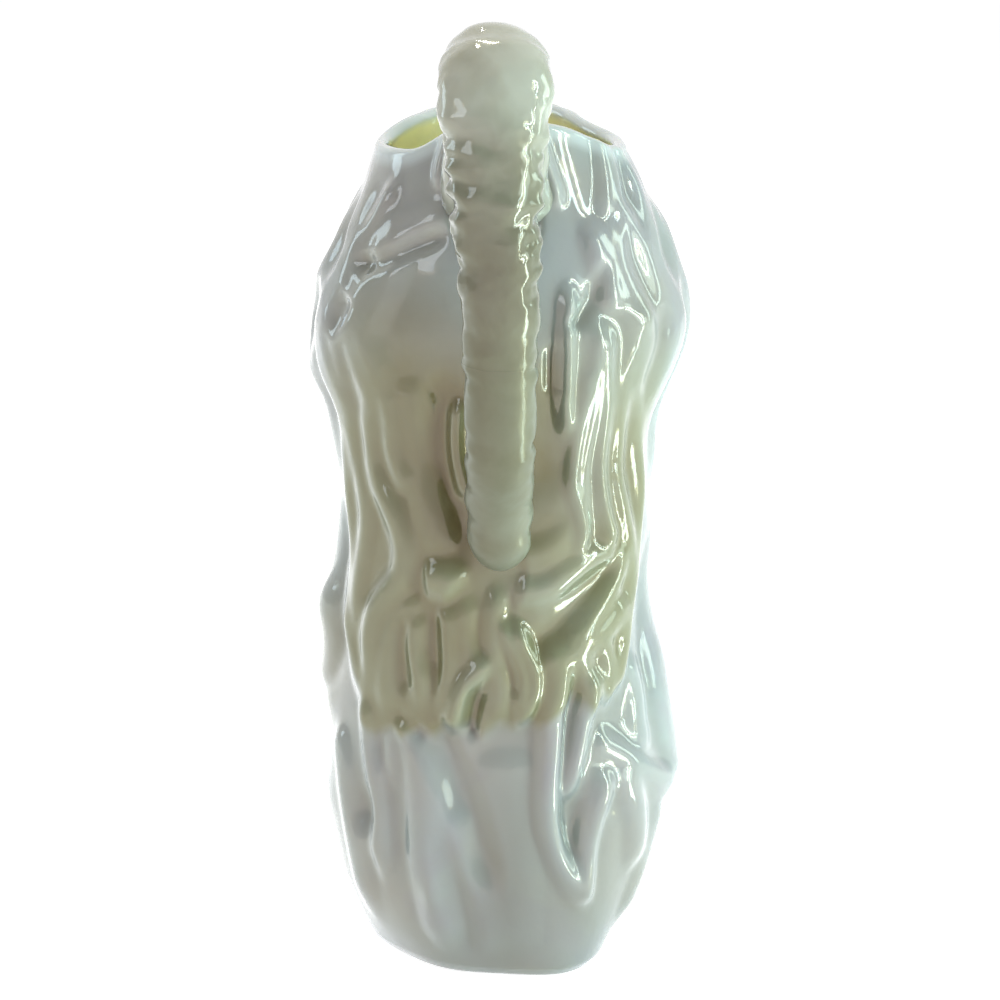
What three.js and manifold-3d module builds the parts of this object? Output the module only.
// A slip-cast porcelain pitcher in the form of a standing robed figure with hip-long hair.
// The body is one hollow casting with a pouring lip over the brow. The handle and the two
// forearms are castings of their own, each stuck on with a layer of slip.
// Sizes are in millimetres. The figure faces -Y, its left hand is towards +X, and Z is up.
import * as THREE from 'three';
import Module from 'manifold-3d';

const wasm = await Module();
wasm.setup();

// The body's main sizes: from the table to the rim, from side to side and from front to back
const bodyHeight = 174.7;
const bodyWidth = 64;
const bodyDepth = 60;

// Rises from the table up to the landmarks of the lower figure, one after another
const hemRise = 8;
const kneeRise = 12;
const cuffRise = 16;
const hairEndRise = 18;
const elbowRise = 16;

// Drops from the rim down to the landmarks of the upper figure, one after another
const crownDrop = 12.7;
const browDrop = 12;
const cheekDrop = 14;
const jawDrop = 18;
const shoulderDrop = 12;

// Heights of the landmarks. The waist takes up what a taller or shorter body leaves.
const hemZ = hemRise;
const kneeZ = hemZ + kneeRise;
const cuffZ = kneeZ + cuffRise;
const hairEndZ = cuffZ + hairEndRise;
const elbowZ = hairEndZ + elbowRise;
const rimZ = bodyHeight;
const crownZ = rimZ - crownDrop;
const browZ = crownZ - browDrop;
const cheekZ = browZ - cheekDrop;
const jawZ = cheekZ - jawDrop;
const shoulderZ = jawZ - shoulderDrop;
const waistZ = (elbowZ + shoulderZ) / 2;

// The casting
const wall = 3.2;
const faceBacking = 3;
const floorThickness = 4;
const footRingWidth = 5;
const footRecess = 1.4;
const footRound = 2.4;
const rimRound = 0.8;

// The pouring lip, and the rise of the rim into the handle
const lipRise = 6;
const lipReach = 9;
const lipHalfAngle = 27;
const lipSharpness = 7;
const lipPinch = 1.6;
const rimRootRise = 6;
const rimRootHalfAngle = 30;

// The face
const eyeAbove = 5;
const eyeSpread = 8.6;
const noseBelow = 7;
const noseReach = 5.4;
const mouthBelow = 13;
const chinBelow = 22;

// The handle
const handleRise = 26.8;
const handleStandOff = 39.5;
const handleTopWidth = 21.4;
const handleFootWidth = 13;
const handleTopThickness = 13;
const handleFootThickness = 9.5;
const handleFootDrop = 12;
const handleRootDrop = 12;
const handleBend = 12;
const handleLump = 0.6;
const handleLumpPitch = 10;

// The slip that sticks one casting to another, and the clearance on each side of it
const slipThickness = 0.8;
const clearance = 0.3;

// How finely the surfaces are divided
const columns = 88;
const bodyRows = 56;
const innerRows = 7;
const faceCrowding = 0.06;
const frontCrowding = 0.12;

// How far each side of the figure lies outside the body's main width and depth at each height
const outline = [
  { z: 0, left: -4, right: -7.4, front: -2, back: -2 },
  { z: hemZ, left: -0.4, right: -3.4, front: 0.5, back: 0 },
  { z: kneeZ, left: 3.4, right: 0.4, front: 1, back: 1.5 },
  { z: cuffZ, left: 5.2, right: 3.6, front: 0.5, back: 1.5 },
  { z: hairEndZ, left: 4, right: 2, front: 0, back: 0.5 },
  { z: elbowZ, left: 2.5, right: -1.5, front: -0.5, back: 0 },
  { z: waistZ, left: 0.6, right: -2, front: -1, back: -0.5 },
  { z: shoulderZ, left: 1.4, right: -1, front: -1.5, back: -0.5 },
  { z: jawZ, left: 2.8, right: 0, front: 1, back: 1 },
  { z: cheekZ, left: 5.4, right: 4.8, front: 2, back: 3.5 },
  { z: browZ, left: 1.4, right: 1.8, front: 2, back: 3 },
  { z: crownZ, left: -2.2, right: -1.2, front: -0.5, back: 0.5 },
  { z: rimZ, left: -6.2, right: -6.4, front: -2.5, back: -2.5 },
  { z: rimZ + lipRise + 4, left: -9.5, right: -10, front: -3.5, back: -5 },
];
const mainHalf = { left: bodyWidth / 2, right: bodyWidth / 2, front: bodyDepth / 2, back: bodyDepth / 2 };
const sectionPower = 2.3;

const radians = THREE.MathUtils.degToRad;
const smooth = THREE.MathUtils.smoothstep;
const clamp = THREE.MathUtils.clamp;

// Turns are in degrees seen from above: 0 is the front, 90 the figure's left, 180 the back.
const fromBack = (degrees) => 180 + degrees;
const wrapTurn = (degrees) => THREE.MathUtils.euclideanModulo(degrees + 180, 360) - 180;

// How far the figure reaches from its axis to one side at height z, as a smooth curve
function outlineAt(key, z) {
  const last = outline.length - 1;
  let i = 0;
  while (i < last - 1 && z > outline[i + 1].z) i += 1;
  const slopeAt = (k) => {
    const a = outline[Math.max(k - 1, 0)];
    const b = outline[Math.min(k + 1, last)];
    return (b[key] - a[key]) / (b.z - a.z);
  };
  const a = outline[i];
  const b = outline[i + 1];
  const span = b.z - a.z;
  const t = clamp((z - a.z) / span, 0, 1);
  const t2 = t * t;
  const t3 = t2 * t;
  return mainHalf[key] + (2 * t3 - 3 * t2 + 1) * a[key] + (t3 - 2 * t2 + t) * span * slopeAt(i)
    + (3 * t2 - 2 * t3) * b[key] + (t3 - t2) * span * slopeAt(i + 1);
}

// The rim stands higher towards the lip, and rises into the root of the handle
function rimHeightAt(turn) {
  const frontness = 0.5 + 0.5 * Math.cos(radians(turn));
  const fromRoot = wrapTurn(turn - 180) / rimRootHalfAngle;
  return rimZ + lipRise * frontness ** lipSharpness + rimRootRise * Math.exp(-(fromRoot ** 4));
}

// The lip pushes the rim out at the front, and pinches it beside the spout
function lipAt(turn, z) {
  const away = Math.abs(wrapTurn(turn)) / lipHalfAngle;
  const fromPinch = (away - 1.9) / 0.6;
  const rise = smooth(z, crownZ - 4, rimZ + lipRise) ** 1.4;
  return rise * (lipReach * Math.exp(-(away ** 2)) - lipPinch * Math.exp(-(fromPinch ** 2)));
}

// The plain form, without relief: a rounded oval section at every height
function plainRadius(turn, z) {
  const s = Math.sin(radians(turn));
  const c = Math.cos(radians(turn));
  const sidePart = Math.abs(s) / outlineAt(s > 0 ? 'left' : 'right', z);
  const depthPart = Math.abs(c) / outlineAt(c > 0 ? 'front' : 'back', z);
  return (sidePart ** sectionPower + depthPart ** sectionPower) ** (-1 / sectionPower) + lipAt(turn, z);
}

// A ridge is a raised or sunk strand along a smooth path of [turn, height] points. Its width and
// height run from the first value to the second, and both fade at its ends.
function ridge(path, width, height, { lead = 0.15, tail = 0.25, edge = 1.3 } = {}) {
  const curve = new THREE.CatmullRomCurve3(path.map(([turn, z]) => new THREE.Vector3(turn, z, 0)));
  const steps = (path.length - 1) * 5;
  const points = [];
  for (let i = 0; i <= steps; i += 1) {
    const p = curve.getPoint(i / steps);
    points.push([p.x, p.y]);
  }
  return { points, width: [width].flat(), height: [height].flat(), lead, tail, edge };
}

// How far a ridge lifts the surface at a place
function ridgeLift(strand, turn, z, radius) {
  const { points, width, height } = strand;
  const mmPerDegree = radians(radius);
  let nearest = Infinity;
  let share = 0;
  for (let i = 0; i < points.length - 1; i += 1) {
    const ax = wrapTurn(points[i][0] - turn) * mmPerDegree;
    const ay = points[i][1] - z;
    const bx = ax + (points[i + 1][0] - points[i][0]) * mmPerDegree;
    const by = points[i + 1][1] - z;
    const dx = bx - ax;
    const dy = by - ay;
    const t = clamp(-(ax * dx + ay * dy) / (dx * dx + dy * dy + 1e-9), 0, 1);
    const d = Math.hypot(ax + t * dx, ay + t * dy);
    if (d < nearest) {
      nearest = d;
      share = (i + t) / (points.length - 1);
    }
  }
  const fade = smooth(share, -0.02, strand.lead) * smooth(1 - share, -0.02, strand.tail);
  const halfWidth = THREE.MathUtils.lerp(width[0], width.at(-1), share) * (0.6 + 0.4 * fade);
  if (nearest >= halfWidth) return 0;
  const lift = THREE.MathUtils.lerp(height[0], height.at(-1), share) * fade;
  return lift * (1 - (nearest / halfWidth) ** 2) ** strand.edge;
}

// A bump is a soft swelling or hollow about one point
const bump = (turn, z, wide, tall, rise) => ({ turn, z, wide, tall, rise });
function bumpLift({ turn: at, z: height, wide, tall, rise }, turn, z, radius) {
  const aside = wrapTurn(turn - at) * radians(radius) / wide;
  const up = (z - height) / tall;
  return rise * Math.exp(-(aside ** 2) - up ** 2);
}

// The same feature on both sides of the figure's middle
const mirrored = (make) => [make(1), make(-1)];

// The long hair over the back, which ends in an uneven edge above the robe's lower folds
const hairEdge = 52;
const hairThickness = 1.5;
function hairMassAt(turn, z) {
  const aside = wrapTurn(turn - 180);
  const end = hairEndZ + 1.4 * Math.sin(radians(aside * 9)) + 0.8 * Math.sin(radians(aside * 17));
  const sides = 1 - smooth(Math.abs(aside), hairEdge - 3, hairEdge + 3);
  const upper = smooth(z, shoulderZ - 6, shoulderZ + 10);
  return smooth(z, end - 2, end + 1.5) * sides * (1 - upper);
}

// Places behind are in degrees from the middle of the back towards the figure's right
const behind = (path) => path.map(([aside, z]) => [fromBack(aside), z]);
const backLocks = [
  ridge(behind([
    [-68, jawZ + 1], [-65, shoulderZ - 6], [-66, waistZ - 2],
    [-64, elbowZ + 5], [-57, elbowZ - 6], [-53, hairEndZ + 3],
  ]), [4, 3.6], [1.4, 2]),
  ridge(behind([
    [-61, jawZ + 2], [-54, shoulderZ - 3], [-57, waistZ - 3],
    [-57, elbowZ + 5], [-55, elbowZ - 3],
  ]), 3.2, 1.6),
  ridge(behind([
    [-47, cheekZ - 5], [-48, shoulderZ + 6], [-42, shoulderZ - 3], [-35.5, waistZ + 5],
    [-38, waistZ - 2], [-48, elbowZ + 8], [-49.5, elbowZ - 2], [-50, hairEndZ + 3],
  ]), [2.8, 3.2], [2.2, 2.8]),
  ridge(behind([[-39, jawZ + 9], [-40, jawZ - 4], [-33, shoulderZ]]), 3, 2.1),
  ridge(behind([[-29, cheekZ - 5], [-31, jawZ], [-25, shoulderZ - 8], [-22, waistZ + 3]]), 5.6, 1.5),
  ridge(behind([[-14, jawZ + 8], [-15.5, shoulderZ + 6], [-12.5, shoulderZ - 2]]), 2.9, 1.9),
  ridge(behind([
    [-27.5, waistZ], [-21, waistZ],
    [-16, waistZ - 2],
  ]), 4.4, 2.6, { lead: 0.06, tail: 0.06, edge: 0.8 }),
  ridge(behind([[-29, waistZ - 4], [-40, elbowZ + 6], [-42.5, elbowZ - 6], [-43, hairEndZ + 3]]), 3.2, 1.5),
  ridge(behind([[-29, waistZ - 8], [-32, elbowZ + 3], [-28.6, elbowZ - 5], [-28.8, hairEndZ + 4]]), 3, 1.4),
  ridge(behind([[-19, waistZ - 5], [-19, elbowZ + 3], [-22.8, hairEndZ + 4]]), 3, 1.5),
  ridge(behind([
    [-4.6, elbowZ + 2], [-11.7, elbowZ - 4],
    [-16.4, hairEndZ + 5], [-20, hairEndZ + 2],
  ]), 2.8, 2.6),
  ridge(behind([[0, waistZ - 1], [-2, elbowZ + 5], [0, elbowZ - 6], [-1, hairEndZ + 2]]), 2.8, 1.4),
  ridge(behind([[0.5, waistZ - 8], [6, elbowZ + 2], [8.6, elbowZ - 3], [4.4, hairEndZ + 6]]), 2.4, 2.2),
  ridge(behind([[4.6, waistZ - 8], [12, elbowZ], [12.6, elbowZ - 5], [6, hairEndZ + 3]]), 2.4, 2.5),
  ridge(behind([
    [6.5, waistZ - 2], [18, waistZ - 2],
    [33.6, waistZ + 3], [46, waistZ + 5],
  ]), [4.2, 3], [3, 2.4], { lead: 0.06, tail: 0.06, edge: 0.8 }),
  ridge(behind([[7, waistZ + 4], [25, waistZ + 8], [31, shoulderZ - 5]]), 4, 1.3),
  ridge(behind([
    [49.8, waistZ + 5], [47.8, waistZ - 1],
    [35.3, elbowZ + 9], [21, elbowZ + 3],
  ]), [2.6, 3], [2.6, 2.9], { lead: 0.06, edge: 0.8 }),
  ridge(behind([[14, elbowZ], [27, elbowZ + 2], [38, elbowZ + 5], [53, waistZ - 4]]), [3.6, 4], 2.3),
  ridge(behind([[15, elbowZ + 2], [19.6, hairEndZ + 4]]), 3, 1.5),
  ridge(behind([[28, elbowZ + 4], [36.4, hairEndZ + 4]]), 3, 1.6),
  ridge(behind([[38, elbowZ + 6], [42.4, elbowZ - 5], [40, hairEndZ + 4]]), 3, 1.6),
  ridge(behind([[51, waistZ - 6], [50, elbowZ + 1], [48.4, hairEndZ + 7]]), 3, 1.5),
];
const backRopes = [
  ridge(behind([
    [23.6, browZ - 2], [28, cheekZ - 6], [29, jawZ - 2],
    [31, shoulderZ - 2], [33, waistZ + 9], [30.6, waistZ + 5],
  ]), [2.8, 2.6], [2.2, 3.5], { tail: 0.1, edge: 0.9 }),
  ridge(behind([
    [36.5, browZ - 5], [35.6, cheekZ - 6], [37.4, jawZ - 2],
    [38.8, shoulderZ - 4], [48.6, waistZ + 4],
  ]), [2.8, 2.6], [2, 3.2], { tail: 0.1, edge: 0.9 }),
  ridge(behind([
    [44, cheekZ - 4], [46.4, jawZ - 2], [49, shoulderZ - 4],
    [55.4, waistZ - 3], [54, elbowZ + 6],
  ]), 3.2, 2.1),
  ridge(behind([
    [51, cheekZ - 7], [61, shoulderZ + 1], [61, waistZ + 4],
    [55, elbowZ + 6], [47, hairEndZ + 6],
  ]), 3.4, 1.9),
];
const backTroughs = [
  ridge(behind([
    [-19.5, cheekZ - 3], [-22.8, jawZ - 3],
    [-15.9, shoulderZ - 4], [-12.4, waistZ + 2],
  ]), [3.4, 2.8], [-1.6, -2]),
  ridge(behind([[-8, elbowZ - 5], [-11, hairEndZ]]), 2.6, -1.6),
  ridge(behind([
    [17.6, browZ - 4], [19.2, cheekZ - 8],
    [20.8, shoulderZ + 3], [22, shoulderZ - 7],
  ]), 3.1, -2.2),
  ridge(behind([[46, waistZ + 2], [27, waistZ - 7], [9, elbowZ + 3]]), 2.6, -1.5),
];

// Chunky waves of hair over the sides of the head, from the rim down past the shoulders
const waveTurns = [70, 92, 114, 134];
const waves = mirrored((side) => waveTurns.map((turn, k) => ridge(
  [
    [side * (turn * 0.97), rimZ - 5 - (k % 2) * 5],
    [side * (turn + 5), browZ + 4],
    [side * (turn - 4), cheekZ + 2],
    [side * (turn + 4), jawZ + 2],
    [side * (turn - 3), shoulderZ - 4 - (k % 3) * 4],
  ],
  [7, 8],
  [3, 3.6],
  { lead: 0.2, tail: 0.4 },
))).flat();

// Locks from the parting over the brow, past the cheeks and down over the chest
const partingZ = browZ + 13;
const frontLocks = mirrored((side) => [
  ridge([
    [side * 2, partingZ - 1], [side * 17, partingZ - 5], [side * 32, browZ - 2], [side * 39, cheekZ],
    [side * 36, jawZ + 2], [side * 32, shoulderZ], [side * 25, waistZ + 8], [side * 22, waistZ - 8],
  ], [3.6, 5.4], [2, 3.4], { lead: 0.1, tail: 0.2 }),
  ridge([
    [side * 7, partingZ + 4], [side * 27, partingZ], [side * 43, browZ - 1], [side * 52, cheekZ + 2],
    [side * 48, jawZ + 3], [side * 44, shoulderZ + 2], [side * 37, waistZ + 9], [side * 33, waistZ - 6],
  ], [4.4, 6], [2.4, 3.6], { lead: 0.1, tail: 0.2 }),
]).flat();

// Hair swept up from the parting over the pouring lip
const lipStrands = [-24, -12, 0, 12, 24].map((turn) => ridge(
  [[turn * 0.8, partingZ + 2], [turn, crownZ + 5], [turn * 1.25, rimZ + lipRise + 2]],
  [3.2, 4],
  [1.2, 1.6],
  { tail: 0.05 },
));

// The cap of hair on the back of the head ends in soft folds, and fans out under the handle's root
const capFolds = [
  ridge(behind([[-60, browZ + 4], [-37.5, crownZ - 4], [-16, crownZ + 1]]), 4, 1.1),
  ridge(behind([[-58, browZ + 2], [-31, crownZ - 6], [-18, crownZ - 2]]), 2.6, -1.7),
  ridge(behind([[32.6, crownZ - 1], [38, browZ - 2], [39.6, cheekZ + 6]]), 3, 2.2),
  ridge(behind([[37, browZ + 5], [30, browZ - 6], [20, cheekZ + 6]]), 2.4, -1.2),
  ridge(behind([[13.6, rimZ + 7], [20, rimZ - 6], [23.4, crownZ + 2]]), 2.4, 1.8, { lead: 0.03 }),
  ridge(behind([[-23.6, rimZ + 6], [-24, rimZ - 2], [-23.4, crownZ + 5]]), 2.4, 1.6, { lead: 0.03 }),
  ridge(behind([[0, rimZ + 7], [0, browZ - 2]]), 8, [3, 1.2], { lead: 0.02, tail: 0.6, edge: 1.4 }),
];

// Curling locks at both sides of the back of the head
const headLocks = [
  ridge(behind([[-44, rimZ - 6], [-53, crownZ - 3], [-67, browZ - 3]]), 3.2, 2.2),
  ridge(behind([[-68, crownZ - 1], [-56, browZ + 2], [-53, cheekZ + 6]]), 3.2, 2.1),
  ridge(behind([[-46, browZ], [-52, cheekZ + 5], [-63, cheekZ - 4]]), 3.2, 2.2),
  ridge(behind([[-75, browZ], [-64, cheekZ + 3], [-57, jawZ + 5]]), 3.4, 2.2),
  ridge(behind([[47, rimZ + 2], [43.7, crownZ + 5], [39.8, crownZ - 1]]), 3, 1.8),
  ridge(behind([[60, rimZ], [62, crownZ - 2], [67, browZ + 1]]), 3.2, 2.4),
  ridge(behind([[47, crownZ + 4], [56, browZ + 3], [58, cheekZ + 2]]), 3, 2.3),
  ridge(behind([[73, crownZ + 3], [77, browZ], [63, jawZ + 9]]), 3.6, 2.6),
];

// The face, with turns worked out from distances across it
const eyeZ = cheekZ + eyeAbove;
const noseZ = cheekZ - noseBelow;
const mouthZ = cheekZ - mouthBelow;
const chinZ = cheekZ - chinBelow;
const across = (mm) => THREE.MathUtils.radToDeg(mm / outlineAt('front', cheekZ));
const faceRidges = [
  ...mirrored((side) => ridge(
    [[across(side * 3), eyeZ + 5], [across(side * 9), eyeZ + 6.4], [across(side * 15), eyeZ + 3.6]],
    3.4,
    1.2,
  )),
  ridge(
    [[0, eyeZ + 6], [0, eyeZ - 3], [0, noseZ + 1.4]],
    [3, 4.6],
    [1, noseReach],
    { lead: 0.1, tail: 0.03 },
  ),
];
const faceBumps = [
  ...mirrored((side) => bump(across(side * eyeSpread), eyeZ + 0.6, 5, 4, -3)),
  ...mirrored((side) => bump(across(side * eyeSpread), eyeZ - 0.2, 3.6, 2.8, 2.2)),
  ...mirrored((side) => bump(across(side * 12), eyeZ - 9, 6, 6, 1.6)),
  ...mirrored((side) => bump(across(side * 3.6), noseZ + 1, 2, 2, 1.4)),
  ...mirrored((side) => bump(across(side * 19), cheekZ - 2, 4, 14, -1.4)),
  bump(0, mouthZ, 9, 5, 0.8),
  bump(0, mouthZ + 1.4, 5.4, 1.5, 1.6),
  bump(0, mouthZ - 2, 4.4, 1.6, 1.6),
  bump(0, chinZ + 3.4, 6.5, 4, 2.2),
  bump(0, chinZ - 5, 11, 3.4, -1.2),
];

// The rolled neckline of the robe
const necklineDrop = 11;
const necklineHalfAngle = 27;
const neckline = ridge(
  [-1, -0.5, 0, 0.5, 1].map((side) => [
    side * necklineHalfAngle,
    shoulderZ + 2 - necklineDrop * (1 - side ** 2),
  ]),
  3.4,
  1.8,
);

// Wide sleeves: shoulder, elbow and cuff of each arm, and the cloth hanging under the cuff
const leftCuff = [40, elbowZ - 4];
const leftWrist = [24, elbowZ - 1];
const rightCuff = [-42, hairEndZ - 6];
const rightWrist = [-26, hairEndZ - 6];
const blunt = { lead: 0.3, tail: 0.04, edge: 1 };
const sleeves = [
  ridge(
    [[72, shoulderZ], [90, waistZ + 2], [95, elbowZ + 2], [72, elbowZ - 9], leftCuff],
    [9, 10.5],
    [2, 5],
    blunt,
  ),
  ridge([[66, elbowZ - 12], [58, hairEndZ - 4], [56, cuffZ + 6]], [9, 7], [3.4, 2]),
  ridge(
    [[-74, shoulderZ], [-92, elbowZ + 6], [-96, cuffZ + 14], [-70, cuffZ + 4], rightCuff],
    [9, 10.5],
    [2, 5],
    blunt,
  ),
  ridge([[-66, cuffZ + 2], [-58, cuffZ - 8], [-56, kneeZ]], [9, 7], [3.4, 2]),
];

// Folds of the robe, at the back as the figure stands and evenly round the front
const backFolds = [
  ridge(behind([
    [23, elbowZ + 1], [19.6, hairEndZ + 3], [17.6, cuffZ + 5],
    [18.8, cuffZ - 2], [22.9, kneeZ + 7], [35.6, kneeZ - 3],
  ]), 3.2, [2.4, 3], { lead: 0.05, tail: 0.1, edge: 0.8 }),
  ridge(behind([
    [42.6, hairEndZ - 7], [38.4, cuffZ - 2],
    [35.2, kneeZ - 1], [35, hemZ + 5],
  ]), 3, [2, 2.7], { tail: 0.1, edge: 0.9 }),
  ridge(behind([
    [35.6, elbowZ - 3], [29.8, hairEndZ - 2],
    [24.8, cuffZ + 4],
  ]), [3, 2.8], [2.6, 2.2], { lead: 0.05, tail: 0.12, edge: 0.9 }),
  ridge(behind([[29.4, elbowZ - 3], [24, hairEndZ - 6], [22.6, cuffZ + 5]]), 2.2, -1.5),
  ridge(behind([[37, hairEndZ - 2], [49, hairEndZ - 6], [66, cuffZ + 5], [80, cuffZ + 2]]), 3.6, 1.8),
  ridge(behind([[48.3, hairEndZ - 8], [56, cuffZ - 7], [56, kneeZ]]), 4.4, 1.8),
  ridge(behind([[57.6, elbowZ - 2], [59, hairEndZ - 1], [62, hairEndZ - 8]]), 3.4, 1.8),
  ridge(behind([[-33, hairEndZ + 6], [-27, cuffZ + 4], [-26.4, kneeZ + 8], [-20.4, hemZ - 2]]), 5.4, 2),
  ridge(behind([[-36.4, hairEndZ + 5], [-17, cuffZ + 9], [-6.4, kneeZ + 8], [-1, kneeZ - 2]]), 4.4, -1.5),
  ridge(behind([[-19, cuffZ + 3], [-8, kneeZ - 1], [-2.3, hemZ - 3]]), 3.6, 1.3),
  ridge(behind([[-53.3, hairEndZ + 8], [-46.4, cuffZ + 5], [-44, kneeZ - 1]]), 3.2, 2),
  ridge(behind([[-40.5, cuffZ + 6], [-38.3, kneeZ + 4]]), 3, -1.2),
  ridge(behind([[2, hairEndZ - 2], [3.4, cuffZ - 4], [3, hemZ - 3]]), 8, 0.8),
  ridge(behind([[-70, hairEndZ - 2], [-57, kneeZ + 6], [-54, hemZ]]), 4.6, 1.6),
  ridge(behind([[70, cuffZ - 2], [60, hemZ - 2]]), 4.6, 1.6),
];
const backHollows = [
  bump(fromBack(28), cuffZ - 3, 4, 9, -2.6),
  bump(fromBack(46.6), hairEndZ + 2, 3.6, 5.4, -3),
  bump(fromBack(-53.5), cuffZ, 3.6, 5, -1.4),
];
const frontFoldTurns = [-34, -21, -8, 6, 19, 32];
const frontFolds = frontFoldTurns.map((turn, k) => ridge(
  [[turn * 0.7, cuffZ + 4 - (k % 3) * 4], [turn * 0.95, kneeZ], [turn * 1.12, 2]],
  [3.4, 5],
  [1.4, 2.2],
  { tail: 0.02 },
));
const toes = mirrored((side) => bump(side * 14, 0, 5, 5, 4));

const strands = [
  ...backLocks,
  ...backRopes,
  ...backTroughs,
  ...waves,
  ...frontLocks,
  ...lipStrands,
  ...capFolds,
  ...headLocks,
  ...faceRidges,
  neckline,
  ...sleeves,
  ...backFolds,
  ...frontFolds,
];
const bumps = [...faceBumps, ...backHollows, ...toes];

// Raised strands melt into one another where they meet, and sunk ones are cut out of them
const meltPerMm = 1.9;
function reliefAt(turn, z) {
  const radius = plainRadius(turn, z);
  let raised = 1;
  let added = hairThickness * hairMassAt(turn, z);
  for (const strand of strands) {
    const lift = ridgeLift(strand, turn, z, radius);
    if (lift > 0) raised += Math.exp(meltPerMm * lift) - 1;
    if (lift < 0) added += lift;
  }
  for (const soft of bumps) added += bumpLift(soft, turn, z, radius);
  return Math.log(raised) / meltPerMm + added;
}

// Columns stand closer together on the front and the back, where the detail is
function columnTurn(i) {
  const even = (i / columns) * Math.PI * 2;
  return THREE.MathUtils.radToDeg(even - frontCrowding * Math.sin(2 * even));
}

// Rows stand closer together over the face
function rowShare(row) {
  const even = row / bodyRows;
  const facePlace = (cheekZ / rimZ) * Math.PI * 2;
  return even - faceCrowding * (Math.sin(even * Math.PI * 2 - facePlace) + Math.sin(facePlace));
}

// Rings of points at a radius and height given for each turn
function ring(radiusAt, heightAt) {
  const points = [];
  for (let i = 0; i < columns; i += 1) {
    const turn = columnTurn(i);
    const z = heightAt(turn);
    const r = radiusAt(turn, z);
    points.push(new THREE.Vector3(r * Math.sin(radians(turn)), -r * Math.cos(radians(turn)), z));
  }
  return points;
}

// A closed surface from a first pole through rings of equal length to a last pole
function closedSurface(firstPole, rings, lastPole) {
  const count = rings[0].length;
  const points = [firstPole, ...rings.flat(), lastPole];
  const at = (row, i) => 1 + row * count + (i % count);
  const index = [];
  for (let i = 0; i < count; i += 1) {
    index.push(0, at(0, i + 1), at(0, i));
    for (let row = 0; row < rings.length - 1; row += 1) {
      index.push(at(row, i), at(row, i + 1), at(row + 1, i + 1));
      index.push(at(row, i), at(row + 1, i + 1), at(row + 1, i));
    }
    index.push(points.length - 1, at(rings.length - 1, i), at(rings.length - 1, i + 1));
  }
  const geometry = new THREE.BufferGeometry().setFromPoints(points);
  geometry.setIndex(index);
  return geometry;
}

// The figure's outer surface, from the foot to the rim, moved out by an offset
const footSteps = 2;
const surfaceRadius = (turn, z) => plainRadius(turn, z) + reliefAt(turn, z);
function outerRings(offset) {
  const rings = [];
  for (let k = 0; k < footSteps; k += 1) {
    const bend = (k / footSteps) * (Math.PI / 2);
    const inset = footRound * (1 - Math.sin(bend)) - offset;
    const height = footRound * (1 - Math.cos(bend)) - offset * Math.cos(bend);
    const radiusAt = (turn) => plainRadius(turn, 0) + reliefAt(turn, 0) * Math.sin(bend) - inset;
    rings.push(ring(radiusAt, () => height));
  }
  for (let row = 0; row <= bodyRows; row += 1) {
    const share = rowShare(row);
    const heightAt = (turn) => footRound + (rimHeightAt(turn) - rimRound - footRound) * share;
    rings.push(ring((turn, z) => surfaceRadius(turn, z) + offset, heightAt));
  }
  return rings;
}

// A solid block of the figure, used to fit the other castings to its surface
function figureBlock(offset) {
  const rings = outerRings(offset);
  const topAt = (turn) => rimHeightAt(turn) + offset;
  rings.push(ring((turn, z) => surfaceRadius(turn, z - offset) + offset, topAt));
  return closedSurface(new THREE.Vector3(0, 0, -offset), rings, new THREE.Vector3(0, 0, rimZ + offset));
}

// The hollow inside follows the plain form one wall in, deeper behind the face and the neck
const faceHalfAngle = 42;
const faceHalfHeight = 24;
function innerRadius(turn, z) {
  const away = wrapTurn(turn) / faceHalfAngle;
  const up = (z - (cheekZ + shoulderZ + chinBelow) / 2) / faceHalfHeight;
  return plainRadius(turn, z) - wall - faceBacking * Math.exp(-(away ** 2) - up ** 2);
}

function bodyShell() {
  const underside = [
    ring((turn) => plainRadius(turn, 0) - footRound - footRingWidth - footRecess, () => footRecess),
    ring((turn) => plainRadius(turn, 0) - footRound - footRingWidth, () => 0),
  ];
  const rim = [
    ring((turn, z) => surfaceRadius(turn, z) - rimRound, rimHeightAt),
    ring((turn, z) => innerRadius(turn, z) + rimRound, rimHeightAt),
  ];
  const inside = [];
  const cornerZ = floorThickness + wall;
  for (let row = innerRows; row >= 0; row -= 1) {
    const share = row / innerRows;
    inside.push(ring(innerRadius, (turn) => cornerZ + (rimHeightAt(turn) - rimRound - cornerZ) * share));
  }
  inside.push(ring((turn, z) => innerRadius(turn, z) - wall, () => floorThickness));
  const rings = [...underside, ...outerRings(0), ...rim, ...inside];
  return closedSurface(new THREE.Vector3(0, 0, footRecess), rings, new THREE.Vector3(0, 0, floorThickness));
}

// A closed bar along a curve. sectionAt gives its half-width and half-thickness at a share of its
// length and an angle round it, and sideways is the direction of its width.
function bar(curve, steps, sides, sectionAt, sideways) {
  const rings = [];
  for (let k = 0; k <= steps; k += 1) {
    const share = k / steps;
    const centre = curve.getPointAt(share);
    const tangent = curve.getTangentAt(share);
    const outward = new THREE.Vector3().crossVectors(tangent, sideways).normalize();
    const widthways = new THREE.Vector3().crossVectors(outward, tangent).normalize();
    const points = [];
    for (let i = 0; i < sides; i += 1) {
      const angle = (i / sides) * Math.PI * 2;
      const [halfWidth, halfThickness] = sectionAt(share, angle);
      points.push(centre.clone()
        .addScaledVector(widthways, halfWidth * Math.cos(angle))
        .addScaledVector(outward, halfThickness * Math.sin(angle)));
    }
    rings.push(points);
  }
  return closedSurface(curve.getPointAt(0), rings, curve.getPointAt(1));
}

const backSurface = (z) => surfaceRadius(180, z);

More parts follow.
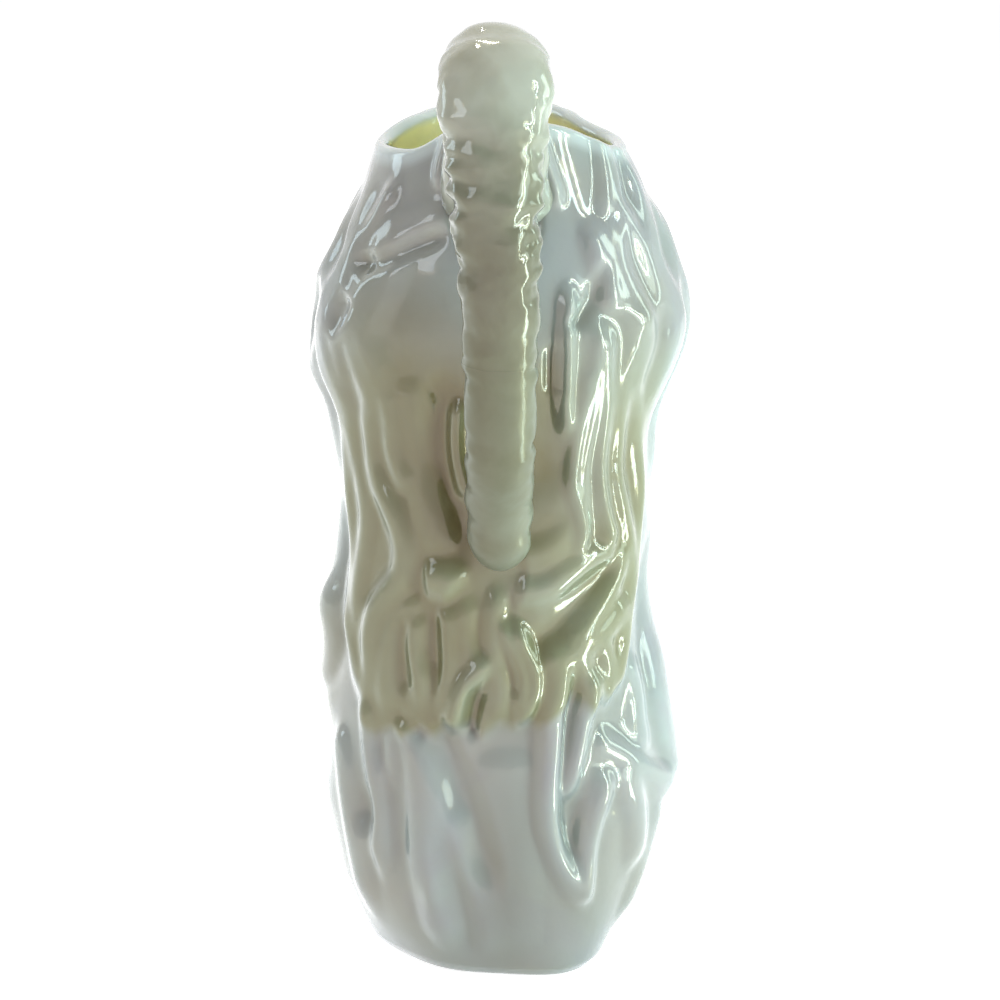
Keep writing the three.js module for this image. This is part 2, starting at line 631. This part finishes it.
// The handle's middle line starts inside the back wall below the rim and ends inside it at the waist
const handleFootZ = shoulderZ - handleFootDrop;
const handleCrownZ = rimZ + handleRise - handleTopThickness / 2;
const handleOutY = outlineAt('back', rimZ) + handleStandOff - handleTopThickness / 2;
const handleCurve = new THREE.CatmullRomCurve3([
  [backSurface(rimZ - 9) - 7, rimZ - handleRootDrop],
  [backSurface(rimZ - 5) + 3, rimZ - handleRootDrop / 4],
  [backSurface(rimZ) + 9, handleCrownZ - 9],
  [handleOutY - handleBend - 5, handleCrownZ - 1],
  [handleOutY - handleBend, handleCrownZ],
  [handleOutY - handleBend / 3, handleCrownZ - 5],
  [handleOutY, rimZ + 3],
  [handleOutY, rimZ - 12],
  [handleOutY - handleBend / 3, cheekZ + 4],
  [handleOutY - handleBend, jawZ],
  [backSurface(shoulderZ) + 8.5, shoulderZ - 3],
  [backSurface(handleFootZ) - 2, handleFootZ - 3],
].map(([y, z]) => new THREE.Vector3(0, y, z)));
const handleLength = handleCurve.getLength();

// Width and thickness along the handle, with the soft lumps of a gnarled branch on its upper half
function handleSection(share, angle) {
  const along = (share * handleLength / handleLumpPitch) * Math.PI * 2;
  const calm = 1 - 0.6 * smooth(share, 0.6, 0.9);
  const lump = handleLump * calm * (Math.sin(along + angle) + 0.6 * Math.sin(along * 0.7 - 2 * angle));
  const taper = smooth(share, 0.3, 0.85);
  const round = Math.sqrt(1 - clamp((share - 0.97) / 0.06, 0, 1) ** 2);
  const flare = 1 + 0.12 * (1 - smooth(share, 0.02, 0.16));
  const halfWidth = THREE.MathUtils.lerp(handleTopWidth, handleFootWidth, taper) / 2;
  const halfThickness = THREE.MathUtils.lerp(handleTopThickness, handleFootThickness, taper) / 2;
  return [(halfWidth * flare + lump) * round, (halfThickness * flare + lump * 0.7) * round];
}

// A closed geometry as a solid to cut, and a cut solid as a geometry
function solidOf(geometry) {
  const vertProperties = new Float32Array(geometry.attributes.position.array);
  const triVerts = new Uint32Array(geometry.index.array);
  return new wasm.Manifold(new wasm.Mesh({ numProp: 3, vertProperties, triVerts }));
}
function geometryOf(solid) {
  const mesh = solid.getMesh();
  const geometry = new THREE.BufferGeometry();
  geometry.setAttribute('position', new THREE.BufferAttribute(mesh.vertProperties, 3));
  geometry.setIndex(new THREE.BufferAttribute(mesh.triVerts, 1));
  return geometry;
}
const joined = (geometries) => geometries.map(solidOf).reduce((all, one) => all.add(one));

// Blocks that leave the clearance, the slip, and the slip with both clearances over the figure
const clearBlock = solidOf(figureBlock(clearance));
const slipBlock = solidOf(figureBlock(clearance + slipThickness));
const seatBlock = solidOf(figureBlock(2 * clearance + slipThickness));

// A casting cut to the figure, and the layer of slip under each of its ends, highest first
function stuckOn(whole) {
  const casting = whole.subtract(seatBlock).decompose().sort((a, b) => b.volume() - a.volume())[0];
  const slip = whole.intersect(slipBlock).subtract(clearBlock).decompose()
    .filter((piece) => piece.volume() > 1)
    .sort((a, b) => b.boundingBox().max[2] - a.boundingBox().max[2]);
  return { casting, slip };
}

// A place on or above the figure's surface
function onFigure([turn, z], above) {
  const r = surfaceRadius(turn, z) + above;
  return new THREE.Vector3(r * Math.sin(radians(turn)), -r * Math.cos(radians(turn)), z);
}

// A forearm from its sleeve's cuff to the fingertips, laid against the robe
const wristWidth = 9.5;
const palmWidth = 14.5;
const palmThickness = 6.5;
const palmLength = 15;
const fingerWidth = 4.5;
const fingerLength = 15;
const thumbLength = 12;
const armSunk = 1.4;
const degreesPerMm = THREE.MathUtils.radToDeg(1 / outlineAt('front', elbowZ));
function forearm(cuff, wrist, climb) {
  const heading = -Math.sign(cuff[0]);
  const level = Math.hypot(1, climb);
  const ahead = (mm, up = 0) => [
    wrist[0] + (heading * mm - up * climb * heading) * degreesPerMm / level,
    wrist[1] + (mm * climb + up) / level,
  ];
  const lie = palmThickness / 2 - armSunk;
  const upright = new THREE.Vector3(0, 0, 1);
  const roundEnd = (share, start) => Math.sqrt(1 - clamp((share - start) / (1.01 - start), 0, 1) ** 2);
  const arm = new THREE.CatmullRomCurve3([
    onFigure(cuff, -5),
    onFigure([(cuff[0] + wrist[0]) / 2, (cuff[1] + wrist[1]) / 2], 0),
    onFigure(wrist, lie + 0.8),
    onFigure(ahead(palmLength), lie),
  ]);
  const armSection = (share) => {
    const spread = smooth(share, 0.55, 0.85);
    const end = roundEnd(share, 0.86);
    return [
      THREE.MathUtils.lerp(wristWidth, palmWidth, spread) / 2 * end,
      THREE.MathUtils.lerp(wristWidth, palmThickness, spread) / 2 * end,
    ];
  };
  const digit = (from, to) => {
    const clear = clearance * 2 + slipThickness + fingerWidth / 2;
    const middle = [(from[0] + to[0]) / 2, (from[1] + to[1]) / 2];
    const curve = new THREE.CatmullRomCurve3([
      onFigure(from, clear),
      onFigure(middle, clear + 0.4),
      onFigure(to, clear),
    ]);
    const half = (share) => (fingerWidth / 2) * roundEnd(share, 0.8);
    return bar(curve, 6, 8, (share) => [half(share), half(share)], upright);
  };
  const pieces = [bar(arm, 14, 12, armSection, upright)];
  const spacing = (palmWidth - fingerWidth) / 3;
  for (let k = 0; k < 4; k += 1) {
    const up = (1.5 - k) * spacing;
    const length = fingerLength * (1 - 0.09 * (k - 1) ** 2);
    pieces.push(digit(ahead(palmLength - 4, up), ahead(palmLength + length, up * 0.9)));
  }
  const thumbRoot = ahead(palmLength * 0.45, palmWidth * 0.3);
  const thumbTip = ahead(palmLength * 0.45 + thumbLength * 0.8, palmWidth * 0.4 + thumbLength * 0.5);
  pieces.push(digit(thumbRoot, thumbTip));
  return stuckOn(joined(pieces));
}

const glaze = (color, roughness) => new THREE.MeshStandardMaterial({ color, roughness, metalness: 0 });
const pearlGlaze = glaze(0xd4d7cd, 0.12);
const creamGlaze = glaze(0xcfccb4, 0.14);
const slipClay = glaze(0xd9d6c8, 0.5);

function named(name, geometry, material) {
  const mesh = new THREE.Mesh(geometry, material);
  mesh.name = name;
  return mesh;
}

const handle = stuckOn(solidOf(bar(handleCurve, 44, 16, handleSection, new THREE.Vector3(1, 0, 0))));
const leftArm = forearm(leftCuff, leftWrist, 0.3);
const rightArm = forearm(rightCuff, rightWrist, 0.1);

const pitcher = new THREE.Group();
pitcher.add(
  named('body_shell', bodyShell(), pearlGlaze),
  named('handle', geometryOf(handle.casting), creamGlaze),
  named('handle_upper_slip', geometryOf(handle.slip[0]), slipClay),
  named('handle_lower_slip', geometryOf(handle.slip[1]), slipClay),
  named('left_forearm', geometryOf(leftArm.casting), pearlGlaze),
  named('left_forearm_slip', geometryOf(leftArm.slip[0]), slipClay),
  named('right_forearm', geometryOf(rightArm.casting), pearlGlaze),
  named('right_forearm_slip', geometryOf(rightArm.slip[0]), slipClay),
);

// The origin is under the middle of the whole pitcher
const bounds = new THREE.Box3().setFromObject(pitcher);
pitcher.position.x = -(bounds.min.x + bounds.max.x) / 2;
pitcher.position.y = -(bounds.min.y + bounds.max.y) / 2;

export default pitcher;
